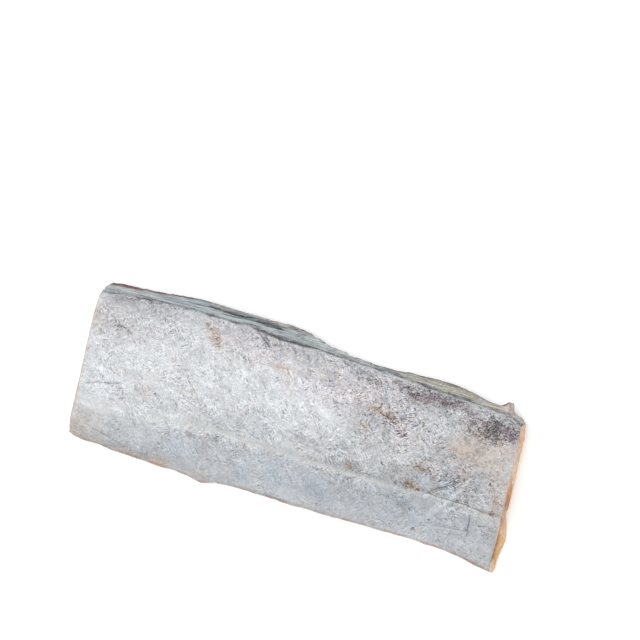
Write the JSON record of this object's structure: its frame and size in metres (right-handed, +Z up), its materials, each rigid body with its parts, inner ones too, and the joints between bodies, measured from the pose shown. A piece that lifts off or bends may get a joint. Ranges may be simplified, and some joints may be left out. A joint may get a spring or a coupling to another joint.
{
  "type": "hairtail fish section",
  "caption": "Middle section of a silvery ribbon-shaped fish, cut straight through at both ends, with its folded back fin, lying on one flank.",
  "frame": {"origin": "centre of the bounding box in X and Y, on the surface the piece lies on", "axes": "+X along the body from the tail-side cut to the head-side cut, +Y from the belly to the back, +Z up through both flanks"},
  "size_m": [0.1836, 0.071, 0.0166],
  "materials": {
    "silver_skin": "moist silvery skin without scales, soft satin sheen, fine streaks and brown stains",
    "fin": "thin moist membrane over fine rays, blue-grey to olive",
    "cut_flesh": "raw cut flesh, tan to orange, moist"
  },
  "bodies": {
    "root": {"hairtail_section": "silver_skin"}
  },
  "joints": []
}
